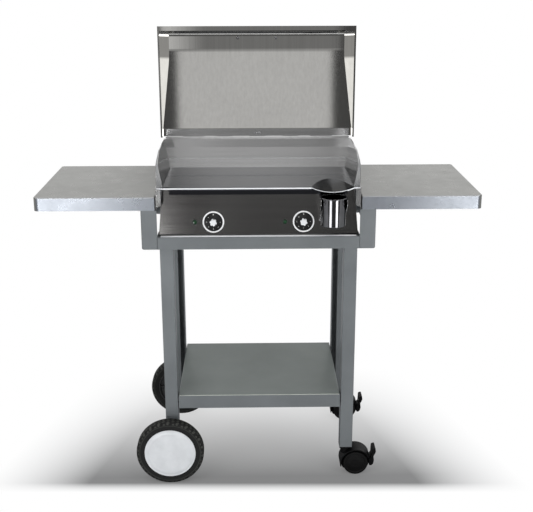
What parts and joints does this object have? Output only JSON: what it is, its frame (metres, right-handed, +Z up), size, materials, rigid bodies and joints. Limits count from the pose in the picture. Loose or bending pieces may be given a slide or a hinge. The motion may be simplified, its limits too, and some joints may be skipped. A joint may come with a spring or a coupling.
{
  "type": "electric griddle cart",
  "caption": "Electric griddle with hinged hood on a wheeled cart with side tables, lower shelf, braked casters, control dials and a pull-out grease cup.",
  "frame": {"origin": "centre of the whole footprint on the floor, under the middle of the bounding box", "axes": "+X to the right as the user faces the controls, towards the casters; +Y away from the user, to the back of the cart; +Z up"},
  "size_m": [1.254, 0.5164, 1.315],
  "materials": {
    "axle_steel": "drawn bright steel",
    "cart_paint": "satin grey powder coat",
    "caster_plastic": "black moulded plastic",
    "caster_tread": "matt black rubber",
    "chrome": "bright plating",
    "cup": "mirror polished steel",
    "dial_black": "glossy black plastic with light marks",
    "dial_white": "glossy white plastic",
    "element": "oxidised steel tube",
    "hood_steel": "brushed stainless steel, grain running up the hood",
    "lamp": "dark green lens in a light rim",
    "panel_steel": "fine brushed stainless steel",
    "plate_steel": "satin ground steel",
    "rim": "black moulded plastic",
    "rubber": "matt black rubber",
    "shield": "aluminised sheet",
    "stainless": "brushed stainless steel",
    "table_paint": "satin light grey powder coat",
    "thermostat": "ceramic filled plastic",
    "tyre": "matt black solid rubber",
    "wheel_cover": "light grey satin plastic",
    "zinc": "zinc plated fastener"
  },
  "bodies": {
    "cart": {"leg_front_left": "cart_paint", "leg_front_right": "cart_paint", "leg_rear_left": "cart_paint", "leg_rear_right": "cart_paint", "front_apron": "cart_paint", "rear_apron": "cart_paint", "side_rail_left": "cart_paint", "side_rail_right": "cart_paint", "lower_shelf": "cart_paint", "shelf_bolts": "zinc", "side_table_left": "table_paint", "side_table_right": "table_paint", "table_bracket_left": "cart_paint", "table_bracket_right": "cart_paint", "bracket_bolts": "zinc", "wheel_axle": "axle_steel", "axle_clips": "zinc", "wheel_spacers": "rim", "caster_sockets": "caster_plastic", "griddle_body": "stainless", "griddle_feet": "rubber", "control_panel": "panel_steel", "cooking_plate": "plate_steel", "splash_guard": "stainless", "side_panel_left": "stainless", "side_panel_right": "stainless", "heating_elements": "element", "heat_shield": "shield", "thermostats": "thermostat", "dial_rings": "dial_white", "indicator_lamps": "lamp", "cable_gland": "rubber", "cup_holder": "stainless", "cup_screws": "zinc", "hinge_leaf_fixed": "stainless", "hinge_pin": "axle_steel"},
    "hood": {"hood_shell": "hood_steel", "hinge_leaf_moving": "stainless", "hinge_screws": "zinc", "hood_handle": "chrome", "handle_screws": "zinc"},
    "dial_left": {"dial_left": "dial_black", "dial_cap_left": "chrome"},
    "dial_right": {"dial_right": "dial_black", "dial_cap_right": "chrome"},
    "wheel_front": {"tyre_front": "tyre", "rim_front": "rim", "wheel_cover_front": "wheel_cover"},
    "wheel_rear": {"tyre_rear": "tyre", "rim_rear": "rim", "wheel_cover_rear": "wheel_cover"},
    "caster_front": {"caster_body_front": "caster_plastic", "caster_axle_front": "axle_steel"},
    "caster_rear": {"caster_body_rear": "caster_plastic", "caster_axle_rear": "axle_steel"},
    "caster_wheels_front": {"caster_wheels_front": "caster_tread"},
    "caster_wheels_rear": {"caster_wheels_rear": "caster_tread"},
    "brake_front": {"caster_brake_front": "caster_plastic"},
    "brake_rear": {"caster_brake_rear": "caster_plastic"},
    "grease_cup": {"grease_cup": "cup"}
  },
  "joints": [
    {"name": "hood_hinge", "type": "hinge", "parent": "cart", "child": "hood", "pos_m": [0, 0.11825, 0.9815], "axis": [1, 0, 0], "range_deg": [0, 90]},
    {"name": "dial_left_turn", "type": "hinge", "parent": "cart", "child": "dial_left", "pos_m": [-0.1275, -0.18174, 0.79282], "axis": [0, 0.9949, -0.1004], "range_deg": [0, 270]},
    {"name": "dial_right_turn", "type": "hinge", "parent": "cart", "child": "dial_right", "pos_m": [0.1275, -0.18174, 0.79282], "axis": [0, 0.9949, -0.1004], "range_deg": [0, 270]},
    {"name": "wheel_front_spin", "type": "hinge", "parent": "cart", "child": "wheel_front", "pos_m": [-0.2666, -0.23245, 0.1], "axis": [0, 1, 0], "continuous": true},
    {"name": "wheel_rear_spin", "type": "hinge", "parent": "cart", "child": "wheel_rear", "pos_m": [-0.2666, 0.22495, 0.1], "axis": [0, 1, 0], "continuous": true},
    {"name": "caster_front_swivel", "type": "hinge", "parent": "cart", "child": "caster_front", "pos_m": [0.261, -0.18445, 0.1], "axis": [0, 0, 1], "continuous": true},
    {"name": "caster_front_roll", "type": "hinge", "parent": "caster_front", "child": "caster_wheels_front", "pos_m": [0.291, -0.18445, 0.0375], "axis": [0, 1, 0], "continuous": true},
    {"name": "brake_front_pedal", "type": "hinge", "parent": "caster_front", "child": "brake_front", "pos_m": [0.339, -0.18445, 0.0475], "axis": [0, 1, 0], "range_deg": [0, 12]},
    {"name": "caster_rear_swivel", "type": "hinge", "parent": "cart", "child": "caster_rear", "pos_m": [0.261, 0.17695, 0.1], "axis": [0, 0, 1], "continuous": true},
    {"name": "caster_rear_roll", "type": "hinge", "parent": "caster_rear", "child": "caster_wheels_rear", "pos_m": [0.291, 0.17695, 0.0375], "axis": [0, 1, 0], "continuous": true},
    {"name": "brake_rear_pedal", "type": "hinge", "parent": "caster_rear", "child": "brake_rear", "pos_m": [0.339, 0.17695, 0.0475], "axis": [0, 1, 0], "range_deg": [0, 12]},
    {"name": "grease_cup_slide", "type": "slide", "parent": "cart", "child": "grease_cup", "axis": [0, -1, 0], "range_m": [0, 0.09]}
  ]
}
